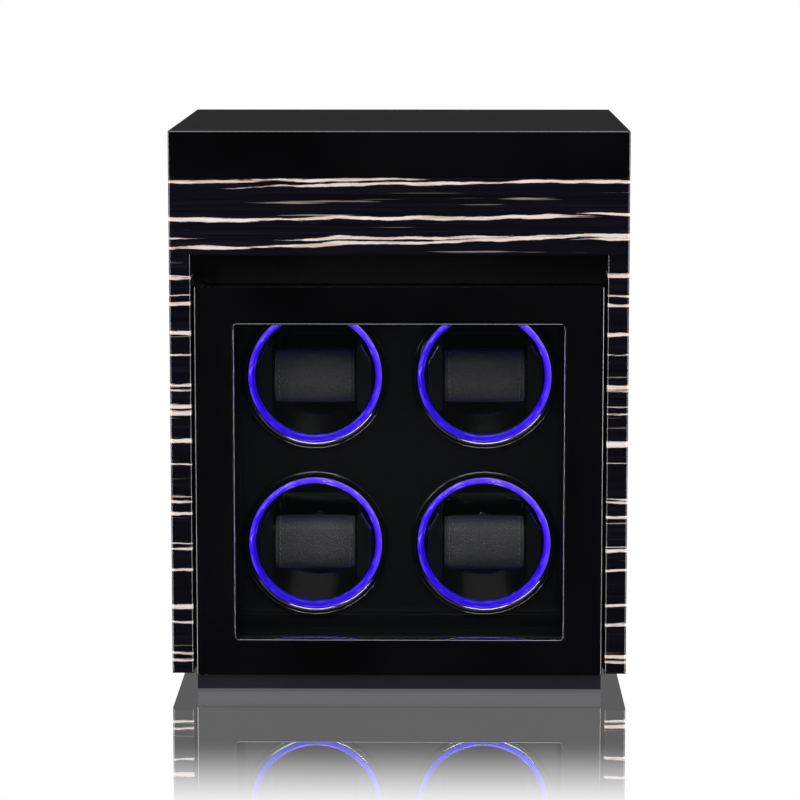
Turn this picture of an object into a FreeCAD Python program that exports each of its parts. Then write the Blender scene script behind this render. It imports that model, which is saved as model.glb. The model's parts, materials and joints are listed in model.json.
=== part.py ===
"""Watch winder box with four turntables, a glazed door and a storage lid.

Units are millimetres.  +Z is up, -Y is the front, +X is to the right when the
box is seen from the front.  The origin is the middle of the footprint, on the
surface that the feet stand on.
"""
import FreeCAD, Part
import math
import os
import re
import Sketcher

# Driving dimensions: each one becomes an aliased cell of the sheet.
DIMENSIONS = {
    # whole box
    "case_width": 254, "case_depth": 230, "case_height": 314, "rear_face": 111,
    "panel_thick": 12, "side_lift": 10, "edge_round": 1.6,
    # base
    "foot_radius": 9, "foot_height": 1.5, "plinth_half_width": 113, "plinth_top": 9,
    "floor_top": 20, "floor_front": -96,
    # lid and header
    "lid_height": 25.5, "lid_gap": 0.5, "lid_skin": 8, "header_bottom": 245,
    "header_thick": 17, "recess_thick": 4, "storage_floor_bottom": 228,
    "storage_floor_thick": 8, "lid_pad_thick": 4,
    # storage tray
    "tray_wall": 4, "tray_floor": 2.5, "tray_top": 286, "cell_length": 95,
    "cushion_width": 49, "cushion_length": 73, "cushion_height": 40,
    # door
    "door_width": 227, "door_thick": 18, "door_bottom": 9.5, "door_top": 227.5,
    "glass_half_width": 92.5, "glass_low": 28.5, "glass_high": 207.5, "glass_corner": 2.8,
    "rebate": 4, "glass_front": -107, "glass_thick": 3, "retainer_thick": 4,
    "pivot_inset": 3.5, "pivot_radius": 1.25, "bush_radius": 2, "fit_gap": 0.05,
    # chamber and turntables
    "lining_thick": 2, "fascia_front": -70, "fascia_thick": 4, "ring_pitch": 96,
    "ring_height": 124.5, "light_inner": 34.3, "light_outer": 37.9, "bezel_outer": 41.5,
    "cup_inner": 34, "cup_wall": 1.4, "cup_front": -66.5, "cup_back": -26, "cup_base": 2,
    "socket_radius": 9, "plug_radius": 6, "plug_depth": 11, "spindle_radius": 3,
    # drive
    "gear_module": 0.8, "gear_teeth": 60, "pinion_teeth": 12, "gear_front": -25.5,
    "gear_width": 5, "plate_front": -16, "plate_thick": 3, "motor_radius": 14,
    "motor_length": 26, "shaft_radius": 1.5,
    # watch holder
    "holder_front": -82, "holder_back": -52, "cheek_half_width": 31.8, "core_half_width": 24,
    "cheek_half_height": 19, "cheek_flat_half": 9.5, "spine_half_height": 8, "pad_round": 10,
    # hinges
    "knuckle_radius": 1.9, "hinge_pin_radius": 0.9, "leaf_thick": 1, "leaf_height": 15,
    "hinge_length": 32, "hinge_spread": 75, "hinge_play": 0.15,
    # magnetic catch
    "magnet_middle": 70, "magnet_level": 14, "magnet_length": 20, "magnet_height": 5,
    "magnet_depth": 4, "catch_length": 22, "catch_height": 6, "catch_thick": 1,
    # motor plate
    "plate_half_width": 102, "plate_low": 28, "plate_high": 221, "bush_seat_radius": 5,
    "shaft_hole_radius": 4, "flange_radius": 7, "flange_thick": 1.5, "standoff_radius": 4,
    "standoff_reach": 93, "standoff_rise": 90,
    # rear cover
    "cover_half_width": 86, "cover_low": 44, "cover_high": 206, "cover_thick": 3,
    "cover_gap": 0.3, "cover_rim": 6, "screw_radius": 1.2, "screw_head_radius": 2.4,
    "screw_head_thick": 1.2, "screw_slot_width": 0.6, "screw_inset": 3,
    "vent_width": 44, "vent_height": 3, "vent_pitch": 8, "vent_low": 140, "vent_spread": 36,
    # rear fittings, in a row below the vents
    "fitting_spread": 40, "fitting_level": 70,
    "jack_radius": 5, "jack_collar_radius": 6.5, "jack_collar_thick": 1.5, "jack_length": 12,
    "jack_socket_radius": 3.1, "jack_socket_depth": 9, "jack_pin_radius": 1,
    "switch_width": 22, "switch_height": 16, "switch_rim_thick": 1.2, "switch_lip": 1.4,
    "switch_depth": 14, "switch_well_width": 16, "switch_well_height": 10, "switch_well_depth": 9,
    "rocker_play": 0.3, "rocker_sink": 3, "rocker_pin_radius": 1, "rocker_pin_length": 12,
    "knob_radius": 7, "knob_stem_radius": 3, "knob_play": 0.4,
    # control board
    "board_gap": 28, "board_half_width": 48, "board_low": 88, "board_high": 134, "board_thick": 1.6,
    "lead_radius": 1.3,
}
VENT_ROWS = 7

doc = FreeCAD.newDocument("WatchWinderBox")
sheet = doc.addObject("Spreadsheet::Sheet", "Sizes")
for row, (alias, number) in enumerate(DIMENSIONS.items(), start=1):
    sheet.set(f"A{row}", alias)
    sheet.set(f"B{row}", str(number))
    sheet.setAlias(f"B{row}", alias)
doc.recompute()

nodes = []


def bound(text):
    """Point the sheet's names in a formula at the sheet."""
    return re.sub(r"[a-z_]+", lambda word: f"Sizes.{word[0]}" if word[0] in DIMENSIONS else word[0],
                  str(text))


def value(text):
    """The present number of a formula in the sheet's names."""
    return float(sheet.evalExpression(bound(text)))


def add(*terms):
    """A formula that adds formulas."""
    return " + ".join(f"({term})" for term in terms)


def minus(term):
    return f"-({term})"


def about(middle, size):
    """A pair of formulas: the two ends of a size laid evenly about its middle."""
    return f"({middle}) - ({size}) / 2", f"({middle}) + ({size}) / 2"


def node(part, name):
    """Name a finished sub-part; its label is the name of its file."""
    part.Label = name
    nodes.append(part)
    return part


def block(name, across, along, up):
    """A box between pairs of formulas on X, Y and Z."""
    part = doc.addObject("Part::Box", name)
    for size, axis, (low, high) in zip(("Length", "Width", "Height"), "xyz", (across, along, up)):
        part.setExpression(size, bound(f"({high}) - ({low})"))
        part.setExpression(f"Placement.Base.{axis}", bound(low))
    return part


def disc(name, radius, along, centre):
    """A cylinder along +Y, centred on an (X, Z) pair."""
    part = doc.addObject("Part::Cylinder", name)
    part.Placement.Rotation = FreeCAD.Rotation(FreeCAD.Vector(1, 0, 0), -90)
    part.setExpression("Radius", bound(radius))
    part.setExpression("Height", bound(f"({along[1]}) - ({along[0]})"))
    for axis, place in zip("xyz", (centre[0], along[0], centre[1])):
        part.setExpression(f"Placement.Base.{axis}", bound(place))
    return part


def post(name, radius, up, centre):
    """A cylinder along +Z, centred on an (X, Y) pair."""
    part = doc.addObject("Part::Cylinder", name)
    part.setExpression("Radius", bound(radius))
    part.setExpression("Height", bound(f"({up[1]}) - ({up[0]})"))
    for axis, place in zip("xyz", (centre[0], centre[1], up[0])):
        part.setExpression(f"Placement.Base.{axis}", bound(place))
    return part


def bar(name, radius, across, centre):
    """A cylinder along +X, centred on a (Y, Z) pair."""
    part = doc.addObject("Part::Cylinder", name)
    part.Placement.Rotation = FreeCAD.Rotation(FreeCAD.Vector(0, 1, 0), 90)
    part.setExpression("Radius", bound(radius))
    part.setExpression("Height", bound(f"({across[1]}) - ({across[0]})"))
    for axis, place in zip("xyz", (across[0], centre[0], centre[1])):
        part.setExpression(f"Placement.Base.{axis}", bound(place))
    return part


def fused(name, parts):
    part = doc.addObject("Part::MultiFuse", name)
    part.Shapes = parts
    return part


def group(name, parts):
    """Separate solids kept together, such as a set of screws."""
    part = doc.addObject("Part::Compound", name)
    part.Links = parts
    return part


def cut(name, base, tools):
    part = doc.addObject("Part::Cut", name)
    part.Base = base
    part.Tool = tools[0] if len(tools) == 1 else fused(f"{name}_tools", tools)
    return part


def rounded(name, base, radius, test):
    """Fillet the edges of a solid for which test(edge) is true."""
    doc.recompute()
    part = doc.addObject("Part::Fillet", name)
    part.Base = base
    size = value(radius)
    part.Edges = [(number, size, size) for number, edge in enumerate(base.Shape.Edges, start=1)
                  if test(edge)]
    return part


def runs_along(edge, axis):
    """True for a straight edge that is parallel to an axis, 'x', 'y' or 'z'."""
    if not isinstance(edge.Curve, Part.Line):
        return False
    return abs(getattr(edge.Curve.Direction, axis)) > 0.999


def new_body(name):
    return doc.addObject("PartDesign::Body", name)


def new_sketch(body, name, role, offset="0"):
    """A sketch on one of the body's own origin planes, moved along its normal."""
    plane = next(item for item in body.Origin.OriginFeatures if item.Role == role)
    sketch = body.newObject("Sketcher::SketchObject", name)
    sketch.AttachmentSupport = [(plane, "")]
    sketch.MapMode = "FlatFace"
    sketch.setExpression("AttachmentOffset.Base.z", bound(offset))
    return sketch


def outline(sketch, points):
    """A closed polygon whose corners are pairs of formulas."""
    corners = [FreeCAD.Vector(value(x), value(y), 0) for x, y in points]
    first = sketch.GeometryCount
    count = len(corners)
    for index, corner in enumerate(corners):
        sketch.addGeometry(Part.LineSegment(corner, corners[(index + 1) % count]), False)
    for index in range(count):
        following = first + (index + 1) % count
        sketch.addConstraint(Sketcher.Constraint("Coincident", first + index, 2, following, 1))
    for index, (x, y) in enumerate(points):
        for kind, formula in (("DistanceX", x), ("DistanceY", y)):
            number = sketch.addConstraint(
                Sketcher.Constraint(kind, -1, 1, first + index, 1, value(formula)))
            sketch.setExpression(f"Constraints[{number}]", bound(formula))


def rectangle(sketch, across, up):
    outline(sketch, [(across[0], up[0]), (across[1], up[0]), (across[1], up[1]), (across[0], up[1])])


def pad(body, sketch, name, length):
    feature = body.newObject("PartDesign::Pad", name)
    feature.Profile = sketch
    feature.setExpression("Length", bound(length))
    sketch.Visibility = False
    return feature


def pocket(body, sketch, name, length):
    """Cut from the sketch's plane along its normal, checking that material goes."""
    doc.recompute()
    before = body.Shape.Volume
    feature = body.newObject("PartDesign::Pocket", name)
    feature.Profile = sketch
    feature.Reversed = True
    feature.setExpression("Length", bound(length))
    doc.recompute()
    assert body.Shape.Volume < before - 1, name
    return feature


def fillet(body, base, name, radius, test):
    doc.recompute()
    feature = body.newObject("PartDesign::Fillet", name)
    edges = [f"Edge{number}" for number, edge in enumerate(base.Shape.Edges, start=1) if test(edge)]
    feature.Base = (base, edges)
    feature.setExpression("Radius", bound(radius))
    return feature


def revolved(name, points, centre=("0", "0")):
    """A body of revolution about a line along +Y through an (X, Z) pair.

    The profile's corners are pairs of (radius, Y) formulas.
    """
    body = new_body(name)
    sketch = new_sketch(body, f"{name}_profile", "XY_Plane")
    outline(sketch, points)
    feature = body.newObject("PartDesign::Revolution", f"{name}_turn")
    feature.Profile = sketch
    feature.ReferenceAxis = (sketch, ["V_Axis"])
    feature.Angle = 360
    body.setExpression("Placement.Base.x", bound(centre[0]))
    body.setExpression("Placement.Base.z", bound(centre[1]))
    return body


def plain(name, shape, place=(0, 0, 0)):
    """A shape that neither a body nor a primitive gives, put at its place."""
    part = doc.addObject("Part::Feature", name)
    part.Shape = shape
    part.Placement = FreeCAD.Placement(FreeCAD.Vector(*place), FreeCAD.Rotation())
    return part


# ---------------------------------------------------------------- shared formulas
HALF_WIDTH = "case_width / 2"
INNER = "case_width / 2 - panel_thick"
FRONT = "-case_depth / 2"
LID_BOTTOM = "case_height - lid_height"
CARCASS_TOP = "case_height - lid_height - lid_gap"
STORAGE_FLOOR_TOP = "storage_floor_bottom + storage_floor_thick"
PANEL_INSIDE = "rear_face - panel_thick"
DOOR_BACK = "-case_depth / 2 + door_thick"
RECESS_FRONT = "-case_depth / 2 + header_thick"
FASCIA_BACK = "fascia_front + fascia_thick"
PLATE_BACK = "plate_front + plate_thick"
PINION_OFFSET = "gear_module * (gear_teeth + pinion_teeth) / 2 / sqrt(2)"

PIVOT = ("-door_width / 2 + pivot_inset", f"{FRONT} + pivot_inset")
JACK = ("-fitting_spread", "fitting_level")
SWITCH = ("0", "fitting_level")
KNOB = ("fitting_spread", "fitting_level")
SHELL_WIDTH = "switch_width - 2 * switch_lip"
SHELL_HEIGHT = "switch_height - 2 * switch_lip - 0.2"
BOARD_FRONT = "rear_face - board_gap"
LEAD_ENDS = [("-32", "124"), ("32", "124"), ("-32", "112"), ("32", "112")]
SWITCH_TILT = 6

# Turntables are numbered from the upper left, row by row, as seen from the front.
TURNTABLES = [(1, -1, 1), (2, 1, 1), (3, -1, -1), (4, 1, -1)]


def turntable_centre(side, row):
    return f"{side} * ring_pitch / 2", f"ring_height + {row} * ring_pitch / 2"


def motor_centre(side, row):
    """Each motor stands on the diagonal between its turntable and the middle of the box."""
    x, z = turntable_centre(side, row)
    return add(x, f"{-side} * {PINION_OFFSET}"), add(z, f"{-row} * {PINION_OFFSET}")


# ---------------------------------------------------------------- case
def make_base():
    """Plinth with its feet, and the floor board that it carries."""
    plinth = block("plinth", (minus("plinth_half_width"), "plinth_half_width"),
                   (f"{FRONT} + 2", "rear_face - 2"), ("foot_height - 0.5", "plinth_top"))
    pivot_hole = post("plinth_pivot_hole", "pivot_radius", ("plinth_top - 5", "plinth_top"), PIVOT)
    node(cut("plinth_cut", plinth, [pivot_hole]), "plinth_base")
    feet = [post(f"foot_{x}_{y}", "foot_radius", ("0", "foot_height - 0.5"),
                 (f"{x} * (plinth_half_width - 16)", f"{y} * (rear_face - 22)"))
            for x in (-1, 1) for y in (-1, 1)]
    node(group("feet", feet), "rubber_feet")
    board = block("floor", (minus(INNER), INNER), ("floor_front", PANEL_INSIDE),
                  ("plinth_top", "floor_top"))
    catch = (about("magnet_middle", "catch_length"), ("floor_front", "floor_front + catch_thick"),
             about("magnet_level", "catch_height"))
    node(cut("floor_cut", board, [block("catch_seat", *catch)]), "floor_board")
    node(block("catch", *catch), "catch_plate")


def make_side_panel(name, low, high, outer):
    """Veneered side panel behind the front frame, with its outer rear edge rounded."""
    body = new_body(name)
    sketch = new_sketch(body, f"{name}_section", "XY_Plane", "side_lift")
    rectangle(sketch, (low, high), (RECESS_FRONT, "rear_face"))
    panel = pad(body, sketch, f"{name}_pad", f"{CARCASS_TOP} - side_lift")
    fillet(body, panel, f"{name}_round", "edge_round",
           lambda edge: runs_along(edge, "z") and edge.BoundBox.YMin > 0
           and abs(edge.CenterOfMass.x - value(outer)) < 0.01)
    node(body, name)


def make_front_frame():
    """One veneered board: a header with a narrow leg down each side of the door."""
    body = new_body("front")
    sketch = new_sketch(body, "front_face", "XZ_Plane", minus(RECESS_FRONT))
    outline(sketch, [
        (minus(HALF_WIDTH), "side_lift"), (minus(INNER), "side_lift"), (minus(INNER), "header_bottom"),
        (INNER, "header_bottom"), (INNER, "side_lift"), (HALF_WIDTH, "side_lift"),
        (HALF_WIDTH, CARCASS_TOP), (minus(HALF_WIDTH), CARCASS_TOP)])
    board = pad(body, sketch, "front_pad", "header_thick")
    fillet(body, board, "front_round", "edge_round",
           lambda edge: edge.BoundBox.YMax < value(FRONT) + 0.01
           and edge.BoundBox.ZMin < value(CARCASS_TOP) - 0.01)
    node(body, "front_frame")


def make_back():
    """Back panel with a rebated service opening, its cover and screws."""
    panel = block("back", (minus(INNER), INNER), (PANEL_INSIDE, "rear_face"),
                  ("floor_top - 10", CARCASS_TOP))
    opening = block("service_opening", ("cover_rim - cover_half_width", "cover_half_width - cover_rim"),
                    (PANEL_INSIDE, "rear_face"), ("cover_low + cover_rim", "cover_high - cover_rim"))
    through = ("rear_face - cover_thick", "rear_face")
    rebate = block("cover_rebate", ("-cover_half_width", "cover_half_width"), through,
                   ("cover_low", "cover_high"))
    screw_places = [(f"{x} * (cover_half_width - screw_inset)", z)
                    for x in (-1, 1) for z in ("cover_low + screw_inset", "cover_high - screw_inset")]
    panel_holes = [disc(f"panel_screw_hole_{i}", "screw_radius", ("rear_face - 10", "rear_face"), place)
                   for i, place in enumerate(screw_places)]
    node(cut("back_cut", panel, [opening, rebate] + panel_holes), "back_panel")

    cover = block("cover", ("cover_gap - cover_half_width", "cover_half_width - cover_gap"), through,
                  ("cover_low + cover_gap", "cover_high - cover_gap"))
    slots = [block(f"vent_{row}_{side}", about(f"{side} * vent_spread", "vent_width"), through,
                   (f"vent_low + {row} * vent_pitch", f"vent_low + {row} * vent_pitch + vent_height"))
             for row in range(VENT_ROWS) for side in (-1, 1)]
    cover_holes = [disc(f"cover_screw_hole_{i}", "screw_radius", through, place)
                   for i, place in enumerate(screw_places)]
    fittings = [
        disc("jack_hole", "jack_radius", through, JACK),
        block("switch_hole", about(SWITCH[0], SHELL_WIDTH), through, about(SWITCH[1], SHELL_HEIGHT)),
        disc("knob_hole", "knob_stem_radius + 0.2", through, KNOB),
    ]
    node(cut("cover_cut", cover, slots + cover_holes + fittings), "rear_service_cover")

    screws = []
    for i, place in enumerate(screw_places):
        head_top = "rear_face + screw_head_thick"
        head = disc(f"screw_head_{i}", "screw_head_radius", ("rear_face", head_top), place)
        shank = disc(f"screw_shank_{i}", "screw_radius", ("rear_face - 9", "rear_face"), place)
        slot = block(f"screw_slot_{i}", about(place[0], "screw_head_radius * 4 / 3"),
                     ("rear_face + screw_head_thick / 2", head_top), about(place[1], "screw_slot_width"))
        screws.append(cut(f"screw_{i}", fused(f"screw_blank_{i}", [head, shank]), [slot]))
    node(group("screws", screws), "rear_cover_screws")


def make_storage():
    """Leather-covered recess panel, storage floor, lined tray and its cushions."""
    node(block("recess", (minus(INNER), INNER), (RECESS_FRONT, f"{RECESS_FRONT} + recess_thick"),
               ("storage_floor_bottom", "header_bottom + 17")), "recess_panel")
    tray_front = f"{RECESS_FRONT} + recess_thick"
    node(block("storage_board", (minus(INNER), INNER), (tray_front, PANEL_INSIDE),
               ("storage_floor_bottom", STORAGE_FLOOR_TOP)), "storage_floor_board")
    tray = block("tray", (minus(INNER), INNER), (tray_front, PANEL_INSIDE),
                 (STORAGE_FLOOR_TOP, "tray_top"))
    cell_floor = f"{STORAGE_FLOOR_TOP} + tray_floor"
    cell_width = f"(2 * ({INNER}) - 5 * tray_wall) / 4"
    cells = []
    for column in range(4):
        low = f"-({INNER}) + tray_wall + {column} * ({cell_width} + tray_wall)"
        cells.append(block(f"cell_{column}", (low, add(low, cell_width)),
                           (f"{tray_front} + tray_wall", f"{tray_front} + tray_wall + cell_length"),
                           (cell_floor, "tray_top")))
        middle = add(low, f"{cell_width} / 2")
        along = f"{tray_front} + tray_wall + cell_length / 2"
        pillow = block(f"pillow_{column}",
                       (add(middle, "-cushion_width / 2"), add(middle, "cushion_width / 2")),
                       (add(along, "-cushion_length / 2"), add(along, "cushion_length / 2")),
                       (cell_floor, add(cell_floor, "cushion_height")))
        soft = rounded(f"pillow_round_{column}", pillow, "8", lambda edge: runs_along(edge, "x"))
        node(soft, f"storage_cushion_{column + 1}")
    wide = f"(2 * ({INNER}) - 3 * tray_wall) / 2"
    for column in range(2):
        low = f"-({INNER}) + tray_wall + {column} * ({wide} + tray_wall)"
        cells.append(block(f"rear_cell_{column}", (low, add(low, wide)),
                           (f"{tray_front} + 2 * tray_wall + cell_length", f"{PANEL_INSIDE} - tray_wall"),
                           (cell_floor, "tray_top")))
    node(cut("tray_cut", tray, cells), "storage_tray")


# ---------------------------------------------------------------- lid
def make_lid():
    """High-gloss lid shell with rounded edges, its lining pad and two butt hinges."""
    shell = block("lid", (minus(HALF_WIDTH), HALF_WIDTH), (FRONT, "rear_face"),
                  (LID_BOTTOM, "case_height"))
    round_shell = rounded("lid_round", shell, "1.2",
                          lambda edge: edge.BoundBox.ZMin > value(LID_BOTTOM) + 1
                          or runs_along(edge, "z"))
    hollow = block("lid_hollow", (minus(INNER), INNER), (f"{FRONT} + panel_thick", PANEL_INSIDE),
                   (LID_BOTTOM, "case_height - lid_skin"))
    node(cut("lid_cut", round_shell, [hollow]), "lid_shell")
    node(block("lid_pad", (f"-({INNER}) + 1", f"{INNER} - 1"),
               (f"{FRONT} + panel_thick + 1", f"{PANEL_INSIDE} - 1"),
               ("case_height - lid_skin - lid_pad_thick", "case_height - lid_skin")), "lid_lining")

    axis_y = "case_depth / 2 - knuckle_radius"
    axis_z = f"{LID_BOTTOM} - lid_gap / 2"
    fixed, moving = [], []
    for side in (-1, 1):
        middle = f"{side} * hinge_spread"
        low, high = add(middle, "-hinge_length / 2"), add(middle, "hinge_length / 2")
        third = "hinge_length / 6"
        slot = (f"{middle} - {third} - hinge_play", f"{middle} + {third} + hinge_play")
        leaf = block(f"case_leaf_{side}", (low, high), ("rear_face", "rear_face + leaf_thick"),
                     (add(axis_z, "-leaf_height"), add(axis_z, "-0.3")))
        gap = block(f"case_leaf_gap_{side}", slot, ("rear_face", "rear_face + leaf_thick"),
                    (add(axis_z, "-2.3"), axis_z))
        knuckles = [bar(f"case_knuckle_{side}_low", "knuckle_radius", (low, slot[0]), (axis_y, axis_z)),
                    bar(f"case_knuckle_{side}_high", "knuckle_radius", (slot[1], high), (axis_y, axis_z))]
        pin = bar(f"lid_pin_{side}", "hinge_pin_radius", (low, high), (axis_y, axis_z))
        plate = cut(f"case_leaf_cut_{side}", leaf, [gap])
        fixed.append(fused(f"case_hinge_{side}", [plate, pin] + knuckles))

        lid_leaf = block(f"lid_leaf_{side}", (low, high), ("rear_face", "rear_face + leaf_thick"),
                         (add(axis_z, "2.3"), add(axis_z, "leaf_height")))
        tongue = block(f"lid_tongue_{side}", (f"{middle} - {third}", f"{middle} + {third}"),
                       ("rear_face", "rear_face + leaf_thick"), (add(axis_z, "0.3"), add(axis_z, "2.3")))
        knuckle = bar(f"lid_knuckle_{side}", "knuckle_radius", (f"{middle} - {third}", f"{middle} + {third}"),
                      (axis_y, axis_z))
        bore = bar(f"lid_bore_{side}", "hinge_pin_radius + fit_gap",
                   (f"{middle} - {third}", f"{middle} + {third}"), (axis_y, axis_z))
        moving.append(cut(f"lid_hinge_{side}", fused(f"lid_hinge_blank_{side}", [lid_leaf, tongue, knuckle]),
                          [bore]))
    node(group("case_hinges", fixed), "lid_hinge_fixed_leaves")
    node(group("lid_hinges", moving), "lid_hinge_moving_leaves")


# ---------------------------------------------------------------- door
def make_door():
    """Lacquered door frame, glass, retainer, magnet and pivot hinges."""
    body = new_body("door")
    half = "door_width / 2"
    sketch = new_sketch(body, "door_outline", "XZ_Plane", minus(DOOR_BACK))
    rectangle(sketch, (minus(half), half), ("door_bottom", "door_top"))
    rectangle(sketch, ("-glass_half_width", "glass_half_width"), ("glass_low", "glass_high"))
    frame = pad(body, sketch, "door_pad", "door_thick")
    fillet(body, frame, "door_window_corners", "glass_corner",
           lambda edge: runs_along(edge, "y") and abs(edge.CenterOfMass.x) < value("glass_half_width") + 0.1)
    rebate = new_sketch(body, "door_rebate", "XZ_Plane", minus(DOOR_BACK))
    rectangle(rebate, ("-glass_half_width - rebate", "glass_half_width + rebate"),
              ("glass_low - rebate", "glass_high + rebate"))
    pocket(body, rebate, "door_rebate_cut", f"{DOOR_BACK} - glass_front")
    fillet(body, body.Tip, "door_round", "edge_round - 0.1",
           lambda edge: runs_along(edge, "z") and abs(edge.CenterOfMass.x) > value(half) - 0.1)
    magnet_across, magnet_up = about("magnet_middle", "magnet_length"), about("magnet_level", "magnet_height")
    holes = [post("door_hole_low", "bush_radius", ("door_bottom", "door_bottom + 10"), PIVOT),
             post("door_hole_high", "bush_radius", ("door_top - 10", "door_top"), PIVOT),
             block("magnet_pocket", magnet_across, (f"{DOOR_BACK} - magnet_depth", DOOR_BACK), magnet_up)]
    node(cut("door_cut", body, holes), "door_frame")

    glass_across = ("-glass_half_width - rebate + 0.3", "glass_half_width + rebate - 0.3")
    glass_up = ("glass_low - rebate + 0.3", "glass_high + rebate - 0.3")
    node(block("glass", glass_across, ("glass_front", "glass_front + glass_thick"), glass_up), "door_glass")
    strip = block("retainer", glass_across,
                  ("glass_front + glass_thick", "glass_front + glass_thick + retainer_thick"), glass_up)
    window = block("retainer_window", ("-glass_half_width", "glass_half_width"),
                   ("glass_front + glass_thick", "glass_front + glass_thick + retainer_thick"),
                   ("glass_low", "glass_high"))
    node(cut("retainer_cut", strip, [window]), "glass_retainer")
    node(block("magnet", magnet_across, (f"{DOOR_BACK} - magnet_depth", f"{DOOR_BACK} - 0.2"), magnet_up),
         "door_magnet")

    low_pin = post("low_pin", "pivot_radius", ("plinth_top - 5", "door_bottom + 9"), PIVOT)
    low_washer = post("low_washer", "bush_radius + 1", ("plinth_top", "plinth_top + 0.3"), PIVOT)
    high_pin = post("high_pin", "pivot_radius", ("door_top - 9", "door_top + 1.5"), PIVOT)
    tongue = block("high_tongue", (minus(INNER), f"{PIVOT[0]} + 3"), (f"{PIVOT[1]} - 2.5", RECESS_FRONT),
                   ("door_top + 0.4", "door_top + 1.6"))
    wall_plate = block("high_wall_plate", (minus(INNER), f"-({INNER}) + 1.2"),
                       (f"{RECESS_FRONT} - 8", RECESS_FRONT), ("door_top + 0.4", "door_top + 6"))
    node(group("pivots", [fused("low_pivot", [low_pin, low_washer]),
                          fused("high_pivot", [high_pin, tongue, wall_plate])]), "door_pivot_brackets")
    bushes = []
    for name, up in (("low", ("door_bottom", "door_bottom + 10")), ("high", ("door_top - 10", "door_top"))):
        sleeve = post(f"bush_{name}", "bush_radius", up, PIVOT)
        bore = post(f"bush_bore_{name}", "pivot_radius + fit_gap", up, PIVOT)
        bushes.append(cut(f"bush_cut_{name}", sleeve, [bore]))
    node(group("bushes", bushes), "door_pivot_bushes")


# ---------------------------------------------------------------- chamber
def make_chamber():
    """Lining of the front chamber, the fascia with four holes, bezels and light rings."""
    lining = block("lining", (minus(INNER), INNER), ("floor_front", "fascia_front"),
                   ("floor_top", "storage_floor_bottom"))
    room = block("lining_room", (f"-({INNER}) + lining_thick", f"{INNER} - lining_thick"),
                 ("floor_front", "fascia_front"),
                 ("floor_top + lining_thick", "storage_floor_bottom - lining_thick"))
    node(cut("lining_cut", lining, [room]), "chamber_lining")
    board = block("fascia", (minus(INNER), INNER), ("fascia_front", FASCIA_BACK),
                  ("floor_top", "storage_floor_bottom"))
    holes, bezels, lights = [], [], []
    for number, side, row in TURNTABLES:
        centre = turntable_centre(side, row)
        holes.append(disc(f"fascia_hole_{number}", "light_outer + 0.1",
                          ("fascia_front", FASCIA_BACK), centre))
        bezels.append(revolved(f"bezel_{number}", [
            ("light_outer - 0.1", "fascia_front - 0.7"), ("light_outer - 0.1", "fascia_front - 2.4"),
            ("light_outer + 0.5", "fascia_front - 3"), ("bezel_outer - 1.6", "fascia_front - 3"),
            ("bezel_outer - 0.5", "fascia_front - 2.2"), ("bezel_outer", "fascia_front - 1"),
            ("bezel_outer", "fascia_front"), ("light_outer + 0.1", "fascia_front"),
            ("light_outer + 0.1", "fascia_front - 0.7")], centre))
        lights.append(revolved(f"light_{number}", [
            ("light_inner", "fascia_front + 3"), ("light_inner", "fascia_front - 0.3"),
            ("light_inner + 0.4", "fascia_front - 0.7"), ("light_outer", "fascia_front - 0.7"),
            ("light_outer", "fascia_front + 3")], centre))
    node(cut("fascia_cut", board, holes), "turntable_fascia")
    node(group("bezels", bezels), "ring_bezels")
    node(group("lights", lights), "light_rings")


# ---------------------------------------------------------------- drive
def gear_face(teeth, phase):
    """Flat outline of an involute spur gear, with the middle of one tooth at the phase angle."""
    module = value("gear_module")
    pitch = module * teeth / 2
    base = pitch * math.cos(math.radians(20))
    tip, root = pitch + 0.9 * module, pitch - 1.2 * module
    backlash = 0.06
    half_tooth = (math.pi * module / 2 - backlash) / 2 / pitch

    def involute(radius):
        """Polar angle that an involute flank turns through from its base circle."""
        ratio = max(1.0, radius / base)
        return math.sqrt(ratio * ratio - 1) - math.acos(1 / ratio)

    flank = [root, max(base, root + 0.1), pitch, (pitch + tip) / 2, tip]
    points = []
    for tooth in range(teeth):
        middle = phase + 2 * math.pi * tooth / teeth
        half_angles = [half_tooth + involute(pitch) - involute(radius) for radius in flank]
        for side, order in ((-1, 1), (1, -1)):
            for radius, half in list(zip(flank, half_angles))[::order]:
                angle = middle + side * half
                points.append(FreeCAD.Vector(radius * math.cos(angle), 0, radius * math.sin(angle)))
    return Part.Face(Part.makePolygon(points + points[:1]))


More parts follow.
